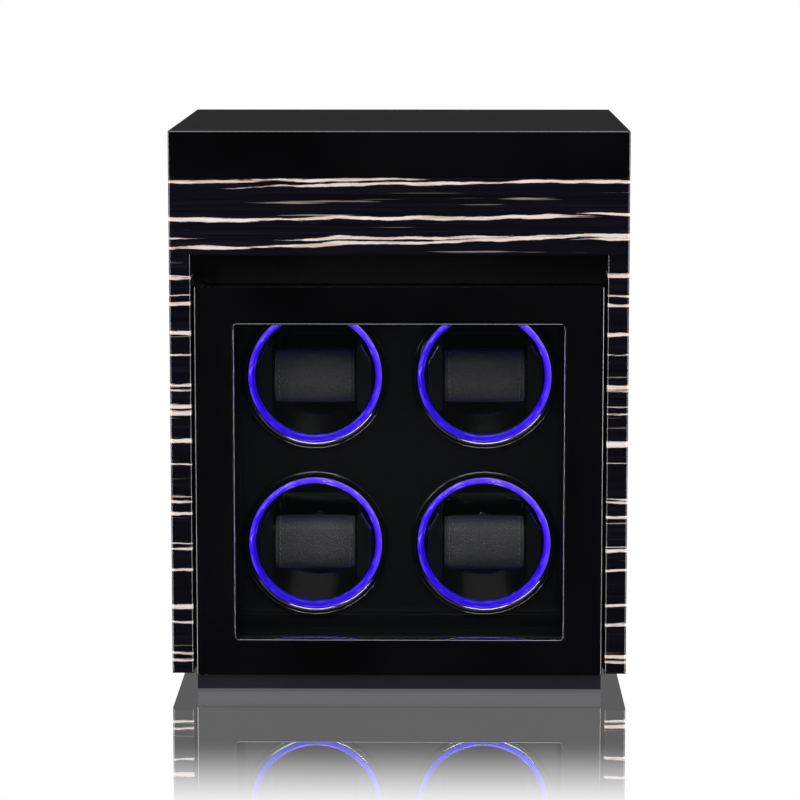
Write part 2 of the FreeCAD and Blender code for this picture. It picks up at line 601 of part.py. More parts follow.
def make_turntable(number, side, row):
    """Cup with its socket, drive gear and spindle; it turns about its own centre."""
    centre = turntable_centre(side, row)
    cup_outer = "cup_inner + cup_wall"
    base_front = "cup_back - cup_base"
    cup = revolved(f"cup_{number}", [
        ("plug_radius + fit_gap", f"{base_front} - 1"),
        ("plug_radius + fit_gap", f"{base_front} - plug_depth"),
        ("socket_radius", f"{base_front} - plug_depth"), ("socket_radius", base_front),
        ("cup_inner", base_front), ("cup_inner", "cup_front"), (cup_outer, "cup_front"),
        (cup_outer, "cup_back"), ("spindle_radius", "cup_back"),
        ("spindle_radius", f"{base_front} - 1")], centre)
    spindle = disc(f"spindle_{number}", "spindle_radius", (f"{base_front} - 1", f"{PLATE_BACK} + 3"), centre)
    toward_pinion = math.atan2(-row, -side)
    wheel = gear_face(int(value("gear_teeth")), toward_pinion)
    gear = plain(f"gear_{number}", wheel.extrude(FreeCAD.Vector(0, value("gear_width"), 0)),
                 (value(centre[0]), value("gear_front"), value(centre[1])))
    web = disc(f"gear_web_{number}", "spindle_radius + 5", ("cup_back", "gear_front"), centre)
    node(fused(f"turntable_{number}", [cup, spindle, gear, web]), f"turntable_cup_{number}")

    place = motor_centre(side, row)
    half_step = math.pi / value("pinion_teeth")
    small = gear_face(int(value("pinion_teeth")), toward_pinion + math.pi + half_step)
    pinion = plain(f"pinion_gear_{number}", small.extrude(FreeCAD.Vector(0, value("gear_width"), 0)),
                   (value(place[0]), value("gear_front"), value(place[1])))
    shaft = disc(f"pinion_shaft_{number}", "shaft_radius", ("gear_front", f"{PLATE_BACK} + 8"), place)
    node(fused(f"pinion_{number}", [pinion, shaft]), f"motor_pinion_{number}")

    can = disc(f"motor_can_{number}", "motor_radius", (PLATE_BACK, f"{PLATE_BACK} + motor_length - 8"), place)
    box = disc(f"motor_tail_{number}", "motor_radius - 4",
               (f"{PLATE_BACK} + motor_length - 8", f"{PLATE_BACK} + motor_length"), place)
    terminals = block(f"motor_terminals_{number}", (f"{place[0]} - 4", f"{place[0]} + 4"),
                      (f"{PLATE_BACK} + motor_length", f"{PLATE_BACK} + motor_length + 2"),
                      (f"{place[1]} - 2", f"{place[1]} + 2"))
    bore = disc(f"motor_bore_{number}", "shaft_radius + fit_gap", (PLATE_BACK, f"{PLATE_BACK} + 9"), place)
    node(cut(f"motor_{number}", fused(f"motor_blank_{number}", [can, box, terminals]), [bore]),
         f"gear_motor_{number}")


def make_holder(number, side, row):
    """Watch holder: two glossy cheeks on a spine with a plug, and a cushion round the spine."""
    x, z = (value(item) for item in turntable_centre(side, row))
    front, back = value("holder_front"), value("holder_back")
    reach, high = value("cheek_half_width"), value("cheek_half_height")
    flat, core = value("cheek_flat_half"), value("core_half_width")
    corner = [FreeCAD.Vector(core, front, high - 1), FreeCAD.Vector(core + 2.4, front, high),
              FreeCAD.Vector(reach, front, flat)]
    lower = [FreeCAD.Vector(point.x, point.y, -point.z) for point in reversed(corner)]
    cheek = Part.Face(Part.makePolygon(corner + lower + corner[:1]))
    right = cheek.extrude(FreeCAD.Vector(0, back - front, 0))
    long_edges = [edge for edge in right.Edges if edge.BoundBox.XMin > core + 0.1]
    right = right.makeFillet(1, long_edges)
    left = right.mirror(FreeCAD.Vector(), FreeCAD.Vector(1, 0, 0))
    half = value("spine_half_height")
    spine = Part.makeBox(2 * core, back - front - 14, 2 * half, FreeCAD.Vector(-core, front + 7, -half))
    plug_end = value("cup_back - cup_base") - 1.4
    stem = Part.makeCylinder(value("plug_radius"), plug_end - (back - 8), FreeCAD.Vector(0, back - 8, 0),
                             FreeCAD.Vector(0, 1, 0))
    frame = right.fuse([left, spine, stem]).removeSplitter()
    node(plain(f"frame_{number}", frame, (x, 0, z)), f"holder_frame_{number}")

    pillow = Part.makeBox(2 * core - 0.6, back - front - 2, 2 * high - 5,
                          FreeCAD.Vector(-core + 0.3, front + 1, -high + 2.5))
    pillow = pillow.makeFillet(value("pad_round"), [edge for edge in pillow.Edges if runs_along(edge, "x")])
    pillow = pillow.cut([spine, stem])
    node(plain(f"pad_{number}", pillow, (x, 0, z)), f"holder_cushion_{number}")


def make_motor_plate():
    """Steel plate that carries the motors and spindle bushes on six standoffs."""
    plate = block("plate", ("-plate_half_width", "plate_half_width"), ("plate_front", PLATE_BACK),
                  ("plate_low", "plate_high"))
    through = ("plate_front", PLATE_BACK)
    tools, bushes = [], []
    for number, side, row in TURNTABLES:
        centre = turntable_centre(side, row)
        tools.append(disc(f"bush_seat_{number}", "bush_seat_radius", through, centre))
        tools.append(disc(f"shaft_hole_{number}", "shaft_hole_radius", through, motor_centre(side, row)))
        sleeve = disc(f"spindle_bush_blank_{number}", "bush_seat_radius", through, centre)
        flange = disc(f"spindle_flange_{number}", "flange_radius",
                      (PLATE_BACK, f"{PLATE_BACK} + flange_thick"), centre)
        bore = disc(f"spindle_bore_{number}", "spindle_radius + fit_gap",
                    ("plate_front", f"{PLATE_BACK} + flange_thick"), centre)
        bushes.append(cut(f"spindle_bush_{number}", fused(f"bush_blank_{number}", [sleeve, flange]), [bore]))
    node(cut("plate_cut", plate, tools), "motor_plate")
    node(group("spindle_bush_set", bushes), "spindle_bushes")
    standoffs = [disc(f"standoff_{x}_{z}", "standoff_radius", (FASCIA_BACK, "plate_front"),
                      (f"{x} * standoff_reach", f"ring_height + {z} * standoff_rise"))
                 for x in (-1, 1) for z in (-1, 0, 1)]
    node(group("standoff_set", standoffs), "plate_standoffs")


# ---------------------------------------------------------------- electrics
def make_electrics():
    """Control board on four legs, and the three fittings of the rear cover."""
    board_back = f"{BOARD_FRONT} + board_thick"
    board = block("board", ("-board_half_width", "board_half_width"), (BOARD_FRONT, board_back),
                  ("board_low", "board_high"))
    chip = block("chip", about("0", "16"), (f"{BOARD_FRONT} - 2", BOARD_FRONT), about("112", "16"))
    plugs = [block(f"header_plug_{i}", about(x, "10"), (f"{BOARD_FRONT} - 6", BOARD_FRONT), about(z, "6"))
             for i, (x, z) in enumerate(LEAD_ENDS)]
    legs = [disc(f"board_leg_{x}_{z}", "2", (board_back, "rear_face - cover_thick"),
                 (f"{x} * (board_half_width - 5)", f"(board_low + board_high) / 2 + {z} * 18"))
            for x in (-1, 1) for z in (-1, 1)]
    caps = [disc(f"capacitor_{side}", "4", (f"{BOARD_FRONT} - 11", BOARD_FRONT),
                 (f"{side} * 22", "board_low + 9")) for side in (-1, 1)]
    node(fused("board_all", [board, chip] + plugs + legs + caps), "control_board")
    make_jack()
    make_switch()
    make_knob()


def make_jack():
    """Low-voltage inlet: a collar, a barrel with its socket, and the pin in the middle."""
    collar_top = "rear_face + jack_collar_thick"
    collar = disc("jack_collar", "jack_collar_radius", ("rear_face", collar_top), JACK)
    barrel = disc("jack_barrel", "jack_radius", ("rear_face - jack_length", "rear_face"), JACK)
    socket = disc("jack_socket", "jack_socket_radius", ("rear_face - jack_socket_depth", collar_top), JACK)
    pin = disc("jack_pin", "jack_pin_radius", ("rear_face - jack_socket_depth", "rear_face + 0.5"), JACK)
    body = cut("jack_cut", fused("jack_blank", [collar, barrel]), [socket])
    node(fused("jack", [body, pin]), "power_jack")


def make_switch():
    """Rocker switch: a rimmed housing, and a rocker on a pin that runs in the housing's walls."""
    rim_top = "rear_face + switch_rim_thick"
    pin_place = (SWITCH[0], "rear_face - rocker_sink")
    rim = block("switch_rim", about(SWITCH[0], "switch_width"), ("rear_face", rim_top),
                about(SWITCH[1], "switch_height"))
    shell = block("switch_shell", about(SWITCH[0], SHELL_WIDTH), ("rear_face - switch_depth", "rear_face"),
                  about(SWITCH[1], SHELL_HEIGHT))
    well = block("switch_well", about(SWITCH[0], "switch_well_width"),
                 ("rear_face - switch_well_depth", rim_top), about(SWITCH[1], "switch_well_height"))
    pin_hole = post("rocker_pin_hole", "rocker_pin_radius + fit_gap",
                    about(SWITCH[1], "rocker_pin_length + 2 * fit_gap"), pin_place)
    node(cut("switch_cut", fused("switch_blank", [rim, shell]), [well, pin_hole]), "switch_housing")

    half_x = value("switch_well_width") / 2 - 0.4
    half_z = value("switch_well_height / 2 - rocker_play")
    profile = [FreeCAD.Vector(x, y, -half_z) for x, y in
               ((-half_x, 0), (-half_x, 4), (0, 3), (half_x, 4), (half_x, 0), (0, -2))]
    rocker = Part.Face(Part.makePolygon(profile + profile[:1])).extrude(FreeCAD.Vector(0, 0, 2 * half_z))
    length = value("rocker_pin_length")
    pin = Part.makeCylinder(value("rocker_pin_radius"), length, FreeCAD.Vector(0, 0, -length / 2))
    part = plain("rocker", rocker.fuse(pin))
    pivot = FreeCAD.Vector(value(pin_place[0]), value(pin_place[1]), value(SWITCH[1]))
    part.Placement = FreeCAD.Placement(pivot, FreeCAD.Rotation(FreeCAD.Vector(0, 0, 1), -SWITCH_TILT))
    node(part, "switch_rocker")


def make_knob():
    """Programme knob: a cap with a softened rim and a pointer slot, on its stem."""
    top = "case_depth / 2"
    cap = disc("knob_cap", "knob_radius", ("rear_face + knob_play", top), KNOB)
    soft_cap = rounded("knob_round", cap, "0.8", lambda edge: edge.BoundBox.YMin > value(top) - 0.01)
    stem = disc("knob_stem", "knob_stem_radius", ("rear_face - 10", "rear_face + knob_play"), KNOB)
    mark = block("knob_mark", about(KNOB[0], "1"), (f"{top} - 0.5", top),
                 (f"{KNOB[1]} + 2", f"{KNOB[1]} + 6"))
    node(cut("knob_cut", fused("knob", [soft_cap, stem]), [mark]), "mode_knob")


def rounded_path(points):
    """Straight runs joined by tangent arcs as large as the runs allow."""
    edges = []
    start = points[0]
    for before, corner, after in zip(points, points[1:], points[2:]):
        inward, onward = (corner - before), (after - corner)
        turn = inward.getAngle(onward)
        radius = 0.45 * min(inward.Length, onward.Length) / math.tan(turn / 2)
        trim = radius * math.tan(turn / 2)
        enter = corner - inward.normalize() * trim
        leave = corner + onward.normalize() * trim
        middle = (onward - inward).normalize()
        centre = corner + middle * (radius / math.cos(turn / 2))
        touch = centre - middle * radius
        edges += [Part.LineSegment(start, enter).toShape(), Part.Arc(enter, touch, leave).toShape()]
        start = leave
    edges.append(Part.LineSegment(start, points[-1]).toShape())
    return Part.Wire(edges)


def make_harness():
    """One lead from the board's plug to each motor's terminals."""
    leads = []
    lead_radius = value("lead_radius")
    for (number, side, row), (end_x, end_z) in zip(TURNTABLES, LEAD_ENDS):
        x, z = (value(item) for item in motor_centre(side, row))
        start_y = value(f"{PLATE_BACK} + motor_length + 2")
        stop_y = value(f"{BOARD_FRONT} - 6")
        stop_x, stop_z = value(end_x), value(end_z)
        points = [FreeCAD.Vector(x, start_y, z), FreeCAD.Vector(x, start_y + 20, z),
                  FreeCAD.Vector(stop_x, stop_y - 20, stop_z), FreeCAD.Vector(stop_x, stop_y, stop_z)]
        path = rounded_path(points)
        circle = Part.Wire(Part.makeCircle(lead_radius, points[0], FreeCAD.Vector(0, 1, 0)))
        tube = path.makePipeShell([circle], True, False)
        assert abs(tube.Volume - math.pi * lead_radius ** 2 * path.Length) < 1, number
        leads.append(plain(f"lead_{number}", tube))
    node(group("leads", leads), "wiring_harness")


make_base()
make_side_panel("side_panel_left", minus(HALF_WIDTH), minus(INNER), minus(HALF_WIDTH))
make_side_panel("side_panel_right", INNER, HALF_WIDTH, HALF_WIDTH)
make_front_frame()
make_back()
make_storage()
make_lid()
make_door()
make_chamber()
for turntable in TURNTABLES:
    make_turntable(*turntable)
    make_holder(*turntable)
make_motor_plate()
make_electrics()
make_harness()
doc.recompute()

for item in doc.Objects:
    assert not {"Invalid", "Error"} & set(item.State), f"{item.Name}: {item.State}"
os.makedirs("parts", exist_ok=True)
for part in nodes:
    assert not part.Shape.isNull() and part.Shape.isValid(), part.Label
    part.Shape.exportStep(os.path.join("parts", f"{part.Label}.step"))
print(len(nodes), "nodes,", sum(len(part.Shape.Solids) for part in nodes), "solids")
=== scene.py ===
import json
import math
import bmesh
import bpy
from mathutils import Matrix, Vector, noise
from mathutils.bvhtree import BVHTree


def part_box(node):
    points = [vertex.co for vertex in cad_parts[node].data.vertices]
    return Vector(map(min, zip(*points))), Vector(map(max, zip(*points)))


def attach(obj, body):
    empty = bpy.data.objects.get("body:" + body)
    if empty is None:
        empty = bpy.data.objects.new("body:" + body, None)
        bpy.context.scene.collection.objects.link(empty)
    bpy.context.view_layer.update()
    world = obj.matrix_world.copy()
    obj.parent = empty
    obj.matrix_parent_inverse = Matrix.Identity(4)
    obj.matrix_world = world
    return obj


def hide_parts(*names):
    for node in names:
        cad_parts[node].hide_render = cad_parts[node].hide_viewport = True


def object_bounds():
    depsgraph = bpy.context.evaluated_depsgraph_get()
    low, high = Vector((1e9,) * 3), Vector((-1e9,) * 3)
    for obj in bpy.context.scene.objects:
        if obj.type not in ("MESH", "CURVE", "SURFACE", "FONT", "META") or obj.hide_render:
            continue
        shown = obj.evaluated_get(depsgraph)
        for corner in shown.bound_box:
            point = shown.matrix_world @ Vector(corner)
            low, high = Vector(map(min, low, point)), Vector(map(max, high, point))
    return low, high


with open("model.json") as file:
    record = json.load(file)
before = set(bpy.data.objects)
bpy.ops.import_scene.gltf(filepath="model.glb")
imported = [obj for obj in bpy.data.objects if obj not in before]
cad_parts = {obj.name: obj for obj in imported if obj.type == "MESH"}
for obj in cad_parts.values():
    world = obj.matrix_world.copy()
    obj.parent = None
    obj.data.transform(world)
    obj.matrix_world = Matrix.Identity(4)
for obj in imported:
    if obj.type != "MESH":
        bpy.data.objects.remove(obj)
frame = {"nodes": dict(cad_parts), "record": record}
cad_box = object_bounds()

MM = 0.001
NODES = frame["nodes"]
SLOT_OF = {entry["node"]: entry["material_slot"] for entry in frame["record"]["subparts"]}
BODY_OF = {node: body for body, names in frame["record"]["behaviour"]["bodies"].items() for node in names}
TURNTABLES = (1, 2, 3, 4)

# ---------------------------------------------------------------- studio
CAMERA_PLACE = (0.0201, -1.951, 0.4187)
CAMERA_DOWN = math.radians(7.87)
CAMERA_LEFT = math.radians(0.61)
CAMERA_LENS = 150.6
CAMERA_SENSOR = 36

MATT_FILL = 0.5
GLOSS_SHEEN = 0.35

# Name, place, the point it faces, width and height in metres, power in watts, and whether gloss mirrors it.
LIGHTS = (
    ("front_box", (0.0, -1.7, 1.95), (0, 0, 0.15), (1.6, 0.7), 26, True),
    ("left_strip", (-1.2, -1.3, 1.25), (0, 0, 0.15), (0.25, 1.3), 11, True),
    ("left_box", (-1.4, 0.0, 0.3), (0, 0, 0.15), (1.6, 1.0), 16, False),
    ("right_box", (1.4, -0.2, 0.3), (0, 0, 0.15), (1.8, 1.0), 22, False),
    ("left_edge", (-1.4, -0.45, -0.05), (0, -0.05, 0), (0.14, 0.9), 10, True),
    ("right_edge", (1.4, -0.45, -0.05), (0, -0.05, 0), (0.14, 0.9), 10, True),
    ("top_box", (0, 0.2, 1.6), (0, 0, 0), (2.6, 1.8), 16, False),
)

FLOOR_REACH = 8.0
MIRROR_NEAR, MIRROR_FAR = 0.115, 0.285
MIRROR_GAIN, MIRROR_MOST = 3.6, 0.90


def make_camera():
    camera = bpy.data.objects.new("camera", bpy.data.cameras.new("camera"))
    camera.data.lens = CAMERA_LENS
    camera.data.sensor_width = CAMERA_SENSOR
    camera.location = CAMERA_PLACE
    camera.rotation_euler = (math.pi / 2 - CAMERA_DOWN, 0, CAMERA_LEFT)
    bpy.context.collection.objects.link(camera)
    bpy.context.scene.camera = camera


def make_world():
    """White to the eye and in the table top; dim in the box's gloss, with a soft grey sky; soft matt fill."""
    world = bpy.data.worlds.new("studio")
    bpy.context.scene.world = world
    world.use_nodes = True
    tree = world.node_tree
    tree.nodes.clear()

    def reading(kind, *inputs, **settings):
        node = tree.nodes.new("ShaderNode" + kind)
        for key, setting in settings.items():
            setattr(node, key, setting)
        for socket, value in zip(node.inputs, inputs):
            if isinstance(value, bpy.types.NodeSocket):
                tree.links.new(value, socket)
            else:
                socket.default_value = value
        return node.outputs

    def blend(first, second, factor):
        change = reading("Math", second, first, operation="SUBTRACT")[0]
        return reading("Math", change, factor, first, operation="MULTIPLY_ADD")[0]

    paths = reading("LightPath")
    rise = reading("SeparateXYZ", reading("TexCoord")["Generated"])["Z"]

    def by_rise(low, high, first, last, shape="SMOOTHSTEP"):
        """A brightness that changes as the ray's direction rises from low to high (1 is straight up)."""
        return reading("MapRange", rise, low, high, first, last, interpolation_type=shape)[0]

    above = by_rise(0.125, 0.175, 0.0, 1.0)
    below = by_rise(0.30, 0.60, 1.0, 0.0)
    dim = by_rise(-0.02, 0.05, 0.010, 0.028, "LINEAR")
    sheen = reading("Math", below, GLOSS_SHEEN, operation="MULTIPLY")[0]
    crown = by_rise(0.55, 1.0, 0.0, 0.40)
    soft_sky = reading("Math", sheen, crown, operation="ADD")[0]
    sky = reading("Math", dim, blend(soft_sky, 1.0, paths["Is Singular Ray"]), operation="MAXIMUM")[0]
    gloss = blend(dim, sky, above)
    seen = reading("Math", paths["Is Camera Ray"], paths["Is Transmission Ray"], operation="MAXIMUM")[0]
    strength = blend(blend(MATT_FILL, gloss, paths["Is Glossy Ray"]), 1.0, seen)
    shade = reading("Background", (1, 1, 1, 1), strength)[0]
    output = tree.nodes.new("ShaderNodeOutputWorld")
    tree.links.new(shade, output.inputs["Surface"])


def make_light(name, place, target, size, power, mirrored):
    """A rectangular softbox at a place, facing a target; it shows in glossy faces where mirrored."""
    data = bpy.data.lights.new(name, "AREA")
    data.shape = "RECTANGLE"
    data.size, data.size_y = size
    data.energy = power
    light = bpy.data.objects.new(name, data)
    light.location = place
    light.rotation_euler = (Vector(target) - Vector(place)).to_track_quat("-Z", "Y").to_euler()
    light.visible_glossy = mirrored
    bpy.context.collection.objects.link(light)


def make_floor():
    """Pale polished table top: it mirrors the box close by and fades to white further out."""
    surface = Surface("table_top")
    foot = surface.add("SeparateXYZ", {"Vector": surface.place})
    gaps = []
    for axis, edge in (("X", cad_box[1][0]), ("Y", cad_box[1][1])):
        beyond = surface.math("SUBTRACT", surface.math("ABSOLUTE", foot.outputs[axis]), edge)
        gaps.append(surface.math("POWER", surface.math("MAXIMUM", beyond, 0.0), 2.0))
    gap = surface.math("SQRT", surface.math("ADD", *gaps))
    near = surface.add("MapRange", {0: gap, 1: MIRROR_NEAR, 2: MIRROR_FAR, 3: 1.0, 4: 0.0},
                       interpolation_type="SMOOTHSTEP").outputs[0]
    slant = surface.add("Fresnel", {"IOR": 1.5}).outputs[0]
    share = surface.math("MINIMUM", surface.math("MULTIPLY", slant, MIRROR_GAIN), MIRROR_MOST)
    white = surface.add("Emission", {"Strength": 1.0}).outputs[0]
    gloss = surface.add("BsdfGlossy", {"Color": (1, 1, 1, 1), "Roughness": 0.0}).outputs[0]
    mirror = surface.math("MULTIPLY", near, share)
    mix = surface.add("MixShader", {0: mirror, 1: white, 2: gloss}).outputs[0]
    surface.tree.links.new(mix, surface.tree.nodes["Material Output"].inputs["Surface"])
    mesh = bpy.data.meshes.new("floor")
    corners = [(x * FLOOR_REACH, y * FLOOR_REACH, 0) for x, y in ((-1, -1), (1, -1), (1, 1), (-1, 1))]
    mesh.from_pydata(corners, [], [(0, 1, 2, 3)])
    mesh.materials.append(surface.material)
    floor = bpy.data.objects.new("floor", mesh)
    bpy.context.collection.objects.link(floor)
    floor.visible_glossy = False
    floor.visible_shadow = False


# ---------------------------------------------------------------- materials
class Surface:
    """A Principled material and short calls for the nodes that drive it."""

    def __init__(self, name, **sockets):
        self.material = bpy.data.materials.new(name)
        self.material.use_nodes = True
        self.tree = self.material.node_tree
        self.shader = self.tree.nodes["Principled BSDF"]
        for socket, setting in sockets.items():
            self.set(socket.replace("_", " "), setting)
        self.place = self.add("TexCoord").outputs["Object"]

    def set(self, socket, setting):
        if isinstance(setting, bpy.types.NodeSocket):
            self.tree.links.new(setting, self.shader.inputs[socket])
        else:
            self.shader.inputs[socket].default_value = setting

    def add(self, kind, inputs=None, **settings):
        node = self.tree.nodes.new("ShaderNode" + kind)
        for key, setting in settings.items():
            setattr(node, key, setting)
        for key, setting in (inputs or {}).items():
            if isinstance(setting, bpy.types.NodeSocket):
                self.tree.links.new(setting, node.inputs[key])
            else:
                node.inputs[key].default_value = setting
        return node

    def math(self, operation, first, second=0.0, third=0.0, clamp=False):
        return self.add("Math", {0: first, 1: second, 2: third}, operation=operation,
                        use_clamp=clamp).outputs[0]

    def stretch(self, scale, place=None):
        return self.add("Mapping", {"Vector": place or self.place, "Scale": scale}).outputs[0]

    def noise(self, scale, detail=3.0, stretch=None, roughness=0.5):
        place = self.stretch(stretch) if stretch else self.place
        inputs = {"Vector": place, "Scale": scale, "Detail": detail, "Roughness": roughness}
        return self.add("TexNoise", inputs).outputs["Fac"]

    def cell_edges(self, scale):
        """Distance to the nearest edge between cells."""
        inputs = {"Vector": self.place, "Scale": scale}
        return self.add("TexVoronoi", inputs, feature="DISTANCE_TO_EDGE").outputs["Distance"]

    def range(self, value, low, high, new_low, new_high):
        inputs = {0: value, 1: low, 2: high, 3: new_low, 4: new_high}
        return self.add("MapRange", inputs, clamp=True).outputs[0]

    def vary(self, value, low, high):
        """Spread a noise, most of which lies from 0.3 to 0.7, over a new range."""
        return self.range(value, 0.3, 0.7, low, high)

    def ramp(self, value, *stops):
        """A colour ramp through (position, colour) stops."""
        node = self.add("ValToRGB", {"Fac": value})
        ramp = node.color_ramp
        for position, _ in stops[1:-1]:
            ramp.elements.new(position)
        for element, (position, color) in zip(ramp.elements, stops):
            element.position = position
            element.color = (*color, 1)
        return node.outputs["Color"]

    def blend(self, factor, first, second):
        node = self.add("Mix", data_type="RGBA")
        for key, setting in ((0, factor), (6, first), (7, second)):
            if isinstance(setting, bpy.types.NodeSocket):
                self.tree.links.new(setting, node.inputs[key])
            else:
                node.inputs[key].default_value = setting if key == 0 else (*setting, 1)
        return node.outputs[2]

    def bump(self, height, distance, strength=1.0):
        return self.add("Bump", {"Height": height, "Distance": distance, "Strength": strength}).outputs[0]


def lacquer(name, dark, light):
    """Black piano lacquer: a deep coat with faint orange peel and the odd speck of dust."""
    cloud_scale, dust_scale, peel_scale = 14, 2600, 260
    peel_height, peel_strength = 0.00002, 0.25
    surface = Surface(name, Coat_Weight=1.0, Coat_Roughness=0.02, Specular_IOR_Level=0.4)
    cloud = surface.noise(cloud_scale, 2)
    surface.set("Base Color", surface.ramp(cloud, (0.3, dark), (0.7, light)))
    dust = surface.range(surface.noise(dust_scale, 1), 0.70, 0.78, 0.0, 0.25)
    surface.set("Roughness", surface.math("ADD", surface.vary(cloud, 0.05, 0.10), dust))
    surface.set("Normal", surface.bump(surface.noise(peel_scale, 2), peel_height, peel_strength))
    return surface.material


# Pale bands of the veneer leaf, in mm: height above the table at the left and right front corners,
# thickness, and for a band that fades out, where it begins and ends along the leaf from its middle.
HEADER_BANDS = (
    (286, 288, 1.8, -400, 25), (282, 287, 2.0, -105, 400), (265, 267, 2.9, -400, 112),
    (271, 268, 1.6, 88, 400), (254, 254, 0.9, -400, -95), (253, 257, 1.9, -78, 72),
    (249, 256, 2.4), (246, 254, 1.4, 84, 400),
)
LEG_BANDS = (
    (233, 234, 3.0), (223, 223, 2.0), (218, 218, 2.6), (202, 201, 2.8), (190, 190, 1.0),
    (173, 172, 2.4), (170, 170, 1.8), (161, 161, 2.2), (157, 157, 3.2), (141, 140, 4.0),
    (129, 129, 0.9), (111, 110, 1.6), (108, 108, 2.6), (101, 99, 3.0), (83, 82, 1.0),
    (80, 80, 3.0), (69, 69, 1.3), (49, 49, 2.8), (40, 38, 2.6), (21, 20, 2.4), (17, 17, 1.8),
)
HALF_FRONT = 127.0
BAND_FADE = 30.0
BAND_END_TAPER = 0.3
BAND_WANDER, BAND_FRAY = 1.5, 0.5
BAND_FULLNESS = (0.11, 0.52)
# Noise scales of the veneer per metre in X, Y and Z: low along the leaf and high across it.
VENEER_SCALES = {
    "wander": (17, 17, 30), "fray": (110, 110, 1300), "fullness": (24, 24, 110), "inclusions": (48, 48, 1100),
    "hairlines": (11, 11, 520), "figure": (5, 5, 520), "tint": (40, 40, 620), "polish": (20, 20, 800),
    "pores": (60, 60, 2600),
}
VENEER_DARK = ((0.30, (0.0005, 0.0004, 0.0012)), (0.55, (0.0018, 0.0015, 0.0038)),
               (0.75, (0.0058, 0.0050, 0.0100)))
VENEER_PALE = ((0.30, (0.34, 0.24, 0.19)), (0.46, (0.49, 0.42, 0.38)), (0.70, (0.55, 0.50, 0.47)))


def macassar():
    """Near-black veneer under gloss: one leaf wrapped round the front, with bands that waver and taper."""
    surface = Surface("macassar_veneer", Coat_Weight=1.0, Coat_Roughness=0.03, Specular_IOR_Level=0.10)

    def grain(use, detail=2, roughness=0.5):
        return surface.noise(1, detail, VENEER_SCALES[use], roughness)

    axes = surface.add("SeparateXYZ", {"Vector": surface.place})
    behind = surface.math("SUBTRACT", axes.outputs["Y"], cad_box[0][1])
    leaf = surface.math("MULTIPLY_ADD", surface.math("SIGN", axes.outputs["X"]), behind, axes.outputs["X"])
    along = surface.math("MULTIPLY_ADD", leaf, 0.5 / (HALF_FRONT * MM), 0.5)
    wander = surface.range(grain("wander"), 0.25, 0.75, -BAND_WANDER, BAND_WANDER)
    fray = surface.range(grain("fray", 5, 0.75), 0.25, 0.75, -BAND_FRAY, BAND_FRAY)
    level = surface.math("MULTIPLY_ADD", axes.outputs["Z"], 1 / MM, surface.math("ADD", wander, fray))
    fullness = surface.range(grain("fullness"), 0.30, 0.62, *BAND_FULLNESS)
    inside = None
    for left, right, thick, *ends in HEADER_BANDS + LEG_BANDS:
        middle = surface.math("MULTIPLY_ADD", along, right - left, left)
        distance = surface.math("ABSOLUTE", surface.math("SUBTRACT", level, middle))
        width = surface.math("MULTIPLY", fullness, thick)
        for end, inward in zip(ends, (BAND_FADE, -BAND_FADE)):
            fade = surface.range(leaf, end * MM, (end + inward) * MM, 0.0, 1.0)
            width = surface.math("SUBTRACT", surface.math("MULTIPLY", width, fade),
                                 surface.math("MULTIPLY_ADD", fade, -BAND_END_TAPER, BAND_END_TAPER))
        depth = surface.math("SUBTRACT", width, distance)
        inside = depth if inside is None else surface.math("MAXIMUM", inside, depth)
    inclusion = surface.range(grain("inclusions", 4, 0.6), 0.60, 0.68, 0.0, 1.0)
    hairline = surface.range(grain("hairlines"), 0.68, 0.74, 0.0, 0.35)
    cream = surface.math("MAXIMUM", surface.range(inside, -0.12, 0.28, 0.0, 1.0), hairline)
    facing = surface.add("SeparateXYZ", {"Vector": surface.add("TexCoord").outputs["Normal"]}).outputs["Z"]
    level_face = surface.range(surface.math("ABSOLUTE", facing), 0.7, 0.9, 0.0, 1.0)
    bare = surface.math("MAXIMUM", inclusion, level_face)
    band = surface.math("SUBTRACT", cream, bare, clamp=True)
    dark = surface.ramp(grain("figure", 5, 0.65), *VENEER_DARK)
    pale = surface.ramp(grain("tint", 4), *VENEER_PALE)
    surface.set("Base Color", surface.blend(band, dark, pale))
    surface.set("Roughness", surface.vary(grain("polish", 3), 0.25, 0.45))
    pores = surface.range(grain("pores"), 0.62, 0.72, 0.0, 1.0)
    surface.set("Normal", surface.bump(pores, 0.00002, 0.15))
    return surface.material


def leather(name, color, grain_size, depth, roughness, shine):
    """Leatherette: rounded pebbles with painted shade in the creases between them, and uneven polish."""
    crease_width, painted_crease_shade, fine_share, cloud_scale = 0.22, 0.45, 0.35, 60
    surface = Surface(name, Specular_IOR_Level=shine)
    scale = 1 / grain_size
    pebbles = surface.range(surface.cell_edges(scale), 0.0, crease_width, 0.0, 1.0)
    fine = surface.noise(scale * 3, 3)
    # Painted shade: the colour darkens towards the creases between pebbles; the cloud noise adds uneven tone.
    tone_and_painted_crease_shade = surface.math("MULTIPLY", pebbles, surface.vary(surface.noise(cloud_scale, 3), 0.7, 1.0))
    dark = tuple(channel * painted_crease_shade for channel in color)
    surface.set("Base Color", surface.blend(tone_and_painted_crease_shade, dark, color))
    surface.set("Roughness", surface.vary(fine, roughness - 0.08, roughness + 0.10))
    height = surface.math("ADD", pebbles, surface.math("MULTIPLY", fine, fine_share))
    surface.set("Normal", surface.bump(height, depth, 0.8))
    return surface.material


def suede():
    """Short pile that catches light at its tips."""
    pile_scale, nap_scale, pile_height = 2200, 75, 0.0004
    low, high = (0.010, 0.010, 0.012), (0.014, 0.014, 0.0165)
    surface = Surface("suede_lining", Roughness=0.95, Specular_IOR_Level=0.15, Sheen_Weight=0.6,
                      Sheen_Roughness=0.4)
    pile = surface.noise(pile_scale, 3)
    surface.set("Base Color", surface.ramp(surface.noise(nap_scale, 5), (0.30, low), (0.70, high)))
    surface.set("Normal", surface.bump(pile, pile_height, 0.7))
    return surface.material


